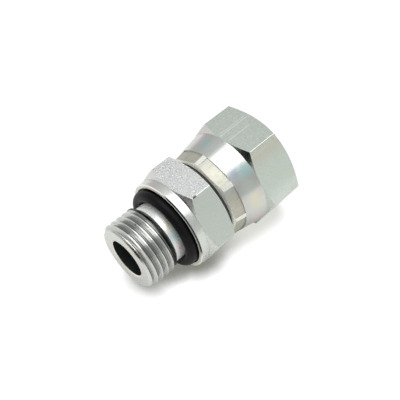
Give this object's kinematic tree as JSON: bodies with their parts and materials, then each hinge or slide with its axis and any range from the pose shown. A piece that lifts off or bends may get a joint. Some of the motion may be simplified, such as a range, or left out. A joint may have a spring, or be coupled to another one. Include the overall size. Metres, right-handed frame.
{
  "type": "hydraulic adapter",
  "caption": "Straight hydraulic adapter: a short threaded stud with an O-ring, a hexagon body and a swivel hexagon nut held by its crimped conical tail.",
  "frame": {"origin": "on the common axis, in the flat seat of the stud's O-ring, which the collar's rim surrounds", "axes": "+X along the common axis, out of the stud; -X out of the nut's mouth; +Z square to the upper flat of both hexagons"},
  "size_m": [0.0399, 0.0274, 0.0238],
  "materials": {
    "body_zinc": "bright zinc plate with a faint iridescent passivation",
    "nut_zinc": "bright zinc plate with a faint iridescent passivation",
    "seal_rubber": "smooth, slightly oily"
  },
  "bodies": {
    "adapter": {"adapter_body": "body_zinc", "stud_o_ring": "seal_rubber", "nose_o_ring": "seal_rubber"},
    "nut": {"swivel_nut": "nut_zinc"}
  },
  "joints": [
    {"name": "nut_swivel", "type": "hinge", "parent": "adapter", "child": "nut", "pos_m": [-0.0135, 0, 0], "axis": [1, 0, 0], "continuous": true}
  ]
}
